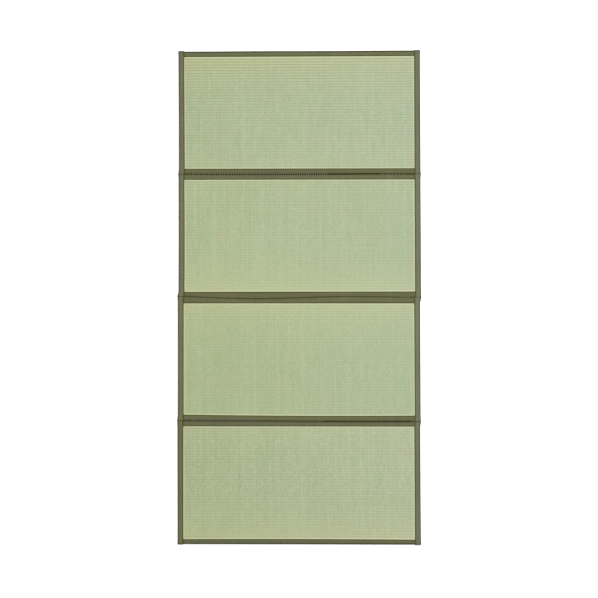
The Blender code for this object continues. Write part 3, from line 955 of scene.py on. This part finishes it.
def sideBinding(panel, side, finish):
    way = outward[side]
    points = []
    uv = []
    edge = []
    seed = 10 * panel + (3 if side == "left" else 4)
    outerRound, innerRound = binding["endRound"]
    reach = mat["edgeRound"]
    cloth = mat["cloth"]
    for y, angle, toEnd in sideStations(panel, side):
        turn = math.radians(angle)
        drop = outerRound * (1 - math.cos(turn)) if toEnd else 0.0
        innerDrop = innerRound * (1 - math.cos(turn)) if toEnd else 0.0
        atCorner = (panel, toEnd) in binding["matEnds"]
        outer = (reach - drop + binding["proud"], reach - drop)
        inner = (reach - cloth - innerDrop + binding["proud"], reach - cloth - innerDrop)
        endReach = binding["endReach"] + (binding["proud"] if atCorner else 0.0)
        outerY = y + toEnd * (endReach - outerRound * (1 - math.sin(turn)))
        innerY = y + toEnd * (endReach - cloth - innerRound * (1 - math.sin(turn)))
        rim = rimX(panel, side, y) + binding["rimRipple"] * ripple(seed, y)
        core = spreadCoreX(panel, side, y)
        swell = (binding["puff"] + binding["ripple"] * ripple(seed + 50, y)) * math.cos(turn)
        arc = binding["arcs"][side]
        loop, lengths, outerCount = foldLoop(rim, core, way, outer, inner, swell, arc)
        faceShade, edgeShade = binding["endShades"][side][panel if toEnd > 0 else panel + 1]
        if not atCorner:  # painted shade only down in a seam
            faceShade *= math.sin(turn) ** 2
        for index, (x, z, shade) in enumerate(loop):
            isOuter = 1 < index < outerCount - 1
            isTurn = index in (1, outerCount - 1)
            ringY = outerY if isOuter else (outerY + innerY) / 2 if isTurn else innerY
            points.append((x, ringY, z))
            dark = faceShade
            if way * (x - core) > reach * binding["sideStart"]:  # painted edge shade fading down the side
                high = ease(z, middle + half, mat["thickness"])
                dark = edgeShade * (binding["lowFade"] + (1 - binding["lowFade"]) * high)
            edge.append(max(shade, dark) if toEnd else shade)
        uv += [(outerY, length) for length in lengths]
    size = len(loop)
    ringCount = len(points) // size
    faces = sweptFaces(ringCount, size)
    for start in (0, len(points) - size):
        outerLoop = [start + index for index in range(2, outerCount - 1)]
        innerLoop = [start + index for index in range(outerCount, size)] + [start]
        faces.append(tuple(outerLoop))
        faces.append(tuple(innerLoop[::-1]))
        last = start + outerCount - 1
        faces.append((start + 1, start + 2, last - 1, last))
        faces.append((start, start + 1, last, last + 1))
    name = f"{side}Binding{panel + 1}"
    piece = makePiece(name, points, faces, uv, clothMarks(edge, side, panel), finish)
    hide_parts(f"{side}_binding_{panel + 1}")
    declareStrip(cornerY(panel, "far", side) - cornerY(panel, "near", side))
    return piece


# seam stitches: one arch of doubled thread, copied along each seam

stitch = {
    "pitch": 0.0094,
    "reach": 0.0054,  # half its span across the seam
    "thread": 0.00075,
    "rise": 0.0016,
    "slant": 0.0016,
    # how a stretch of a seam looks: crown of its stitches, their reach as a share of the full
    # one, how strong the painted shade gaping between them is, how dark the painted seam shade is
    "kinds": {
        "high": (0.0251, 1.0, 1.0, 1.0),
        "firm": (0.0249, 0.9, 0.6, 1.15),
        "low": (0.0232, 0.70, 0.35, 1.1),
        "deep": (0.0205, 0.48, 0.1, 1.3),
        "plain": (0.0205, 0.48, 0.1, 0.65),
        "slight": (0.0249, 0.9, 0.5, 0.7),
        "closed": (0.0, 0.0, 0.0, 1.0),  # no stitches
        "faint": (0.0, 0.0, 0.0, 0.65),
    },
    # seam, side of the mat it is sewn on, where each stretch starts from left to right
    "seams": [
        (1, "top", ((-0.51, "plain"), (-0.470, "high"),
                    (0.118, "deep"), (0.330, "low"), (0.346, "high"), (0.450, "plain"))),
        (2, "under", ((-0.51, "high"),)),
        (2, "top", ((-0.51, "faint"), (-0.340, "closed"), (0.180, "faint"),
                    (0.415, "slight"), (0.455, "faint"))),
        (3, "top", ((-0.51, "plain"), (-0.460, "low"),
                    (-0.409, "firm"), (-0.150, "low"), (0.100, "deep"),
                    (0.455, "plain"))),
    ],
    "underCrown": 0.0242,
    "reachX": 0.466,
    "tackHeights": (0.0060, 0.0125, 0.0190),  # thread round a seam's outer end
    "tackShare": 0.90,
    "tackSink": 0.0002,
    "tackLean": 0.0008,
    "placeUneven": 0.0003,
    "crownUneven": 0.00008,
    "shareUneven": (0.90, 1.08),
    "slantUneven": (0.7, 1.3),
    "color": (0.150, 0.147, 0.090),
    # the tack thread is near black, far darker than the seam thread: painted shade of the gap
    # between the closed ends at a seam's outer end
    "tackShadeColor": (0.030, 0.028, 0.014),
    "fuzz": 900.0,
    "roughness": 0.8,
    "bump": (0.0002, 0.4),
}


def threadFinish(name, color):
    graph = Graph(name)
    coords = graph.add("ShaderNodeTexCoord")
    scale = (stitch["fuzz"],) * 3
    fuzz = graph.noise(graph.stretched(coords.outputs["Object"], scale), 1.0)
    tone = fuzz * 0.5 + 0.75
    gray = graph.add("ShaderNodeCombineColor", None, [tone, tone, tone])
    color = graph.mix(1.0, color, gray.outputs[0], "MULTIPLY")
    graph.feed(graph.shader.inputs["Base Color"], color)
    graph.shader.inputs["Roughness"].default_value = stitch["roughness"]
    graph.bump(fuzz, *stitch["bump"])
    return graph.material


def oneStitch():
    bpy.ops.object.select_all(action="DESELECT")
    bpy.ops.mesh.primitive_torus_add(
        major_radius=stitch["reach"],
        minor_radius=stitch["thread"],
        major_segments=20,
        minor_segments=6,
        location=(0, 0, 0),
    )
    ring = bpy.context.object
    bpy.ops.object.mode_set(mode="EDIT")
    bpy.ops.mesh.select_all(action="SELECT")
    bpy.ops.transform.rotate(
        value=math.pi / 2, orient_axis="Y", orient_type="GLOBAL", center_override=(0, 0, 0)
    )
    bpy.ops.mesh.bisect(
        plane_co=(0, 0, -0.0001), plane_no=(0, 0, 1), clear_inner=True, use_fill=True
    )
    bpy.ops.mesh.select_all(action="SELECT")
    bpy.ops.transform.translate(value=(-stitch["thread"], 0, 0))
    bpy.ops.mesh.duplicate()
    bpy.ops.transform.translate(value=(2 * stitch["thread"], 0, 0))
    bpy.ops.object.mode_set(mode="OBJECT")
    squash = stitch["rise"] / stitch["reach"]
    for vertex in ring.data.vertices:
        radial = math.hypot(vertex.co.y, vertex.co.z) or 1.0
        over = radial - stitch["reach"]  # keeps the thread round while the arch is flattened
        up = vertex.co.z / radial
        vertex.co.z = up * stitch["rise"] + over * up
    return ring


def addStitch(seam, pattern, center, share, lean, facing):
    before = len(seam.verts)
    seam.from_mesh(pattern.data)
    seam.verts.ensure_lookup_table()
    for vertex in seam.verts[before:]:
        place = vertex.co.y / stitch["reach"]
        side = vertex.co.x + lean * place
        up = vertex.co.z - stitch["rise"]
        y = center[1] + vertex.co.y * share
        if facing in ("top", "under"):
            up = up if facing == "top" else -up
            vertex.co = (center[0] + side, y, center[2] + up)
        else:
            vertex.co = (center[0] + outward[facing] * up, y, center[2] + side)


def stretchLook(x, stretches):
    kind = [name for first, name in stretches if first <= x][-1]
    return stitch["kinds"][kind]


def threadPiece(thread, name, finish):
    data = bpy.data.meshes.new(name)
    bmesh.ops.recalc_face_normals(thread, faces=thread.faces)
    thread.to_mesh(data)
    thread.free()
    data.shade_smooth()
    data.materials.append(finish)
    piece = bpy.data.objects.new(name, data)
    scene.collection.objects.link(piece)
    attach(piece, "root")
    return piece


def sewSeam(line, face, stretches, finish, pattern):
    rng = np.random.default_rng(400 + line)
    seam = bmesh.new()
    count = int(2 * stitch["reachX"] / stitch["pitch"])
    shiftX, shiftY = mat["shift"]
    for number in range(count):
        x = (number - count // 2) * stitch["pitch"] + float(rng.normal(0, stitch["placeUneven"]))
        crown, share = stretchLook(x, stretches)[:2]
        if share == 0.0:
            continue
        share *= float(rng.uniform(*stitch["shareUneven"]))
        crown += float(rng.normal(0, stitch["crownUneven"]))
        if face == "under":
            crown = 2 * middle - stitch["underCrown"]
        lean = stitch["slant"] * share * float(rng.uniform(*stitch["slantUneven"]))
        center = (x + shiftX, lineY(line, x) + shiftY, crown)
        addStitch(seam, pattern, center, share, lean, face)
    return threadPiece(seam, f"seamStitches{line}{face}", finish)


def tackEnds(line, finish, pattern):  # thread wound round the outer ends of a seam
    tack = bmesh.new()
    for side in ("left", "right"):
        edge = mat["edgeRound"] + binding["proud"] - stitch["tackSink"]
        x = spreadCoreX(line, side, cornerY(line, "far", side)) + outward[side] * edge
        y = lineY(line, outward[side] * mat["lineReach"])
        for height in stitch["tackHeights"]:
            center = (x + mat["shift"][0], y + mat["shift"][1], height)
            lean = stitch["tackLean"]
            addStitch(tack, pattern, center, stitch["tackShare"], lean, side)
    return threadPiece(tack, f"seamTack{line}", finish)


# the mat

for panel in range(4):
    rushPanel(panel)
print("rush panels done")

sideCloth = clothFinish("bindingSide", clothLook["side"])
endCloth = clothFinish("bindingEnd", clothLook["end"])
for panel in range(4):
    for end in ("far", "near"):
        longBinding(panel, end, endCloth)
    for side in ("left", "right"):
        sideBinding(panel, side, sideCloth)
print("bindings done")

threadLook = threadFinish("seamThread", stitch["color"])
tackLook = threadFinish("tackThread", stitch["tackShadeColor"])
pattern = oneStitch()
for line, face, stretches in stitch["seams"]:
    sewSeam(line, face, stretches, threadLook, pattern)
for line in (1, 2, 3):
    tackEnds(line, tackLook, pattern)
bpy.data.objects.remove(pattern)
print("seams sewn")


# floor, light and camera

studio = {
    "floor": 14.0,
    "floorColor": (0.93, 0.93, 0.93),
    "floorGlow": 0.35,  # the white floor is lit from below too
    "floorRoughness": 0.9,
    "floorSpecular": 0.1,
    "cloudColor": (0.90, 0.90, 0.90),
    "cloudScale": 0.8,
    "cloudShare": 0.15,
    "sky": 0.28,
    "keyPlace": (0.7, 0.35, 6.0),
    "keySize": 2.0,
    "keyPower": 375.0,
    "cameraDistance": 9.0,
    "cameraTilt": 2.26,  # degrees, towards the near end
    "aim": (-0.0020, -0.0110, 0.025),
    "lens": 131.2,
}


def studioFloor():
    bpy.ops.object.select_all(action="DESELECT")
    bpy.ops.mesh.primitive_plane_add(size=studio["floor"], location=(0, 0, 0))
    floor = bpy.context.object
    floor.name = "floor"
    graph = Graph("paleFloor")
    coords = graph.add("ShaderNodeTexCoord")
    cloud = graph.noise(coords.outputs["Object"], studio["cloudScale"]) * studio["cloudShare"]
    shade = graph.mix(cloud, studio["floorColor"], studio["cloudColor"])
    graph.feed(graph.shader.inputs["Base Color"], shade)
    graph.shader.inputs["Roughness"].default_value = studio["floorRoughness"]
    graph.shader.inputs["Specular IOR Level"].default_value = studio["floorSpecular"]
    graph.shader.inputs["Emission Color"].default_value = (1.0, 1.0, 1.0, 1.0)
    graph.shader.inputs["Emission Strength"].default_value = studio["floorGlow"]
    floor.data.materials.append(graph.material)


def studioLight():
    world = bpy.data.worlds.new("studio")
    scene.world = world
    world.use_nodes = True
    sky = world.node_tree.nodes["Background"]
    sky.inputs["Color"].default_value = (1.0, 1.0, 1.0, 1.0)
    sky.inputs["Strength"].default_value = studio["sky"]
    bpy.ops.object.light_add(type="AREA", location=studio["keyPlace"])
    key = bpy.context.object
    key.data.shape = "DISK"
    key.data.size = studio["keySize"]
    key.data.energy = studio["keyPower"]
    scene.view_settings.view_transform = "Standard"


def studioCamera():
    tilt = math.radians(studio["cameraTilt"])
    distance = studio["cameraDistance"]
    aim = studio["aim"]
    place = (aim[0], aim[1] - distance * math.sin(tilt), aim[2] + distance * math.cos(tilt))
    bpy.ops.object.camera_add(location=place, rotation=(tilt, 0, 0))
    camera = bpy.context.object
    camera.data.lens = studio["lens"]
    camera.data.sensor_width = 36.0
    camera.data.clip_end = 60.0
    scene.camera = camera


studioFloor()
studioLight()
studioCamera()
print("studio ready")
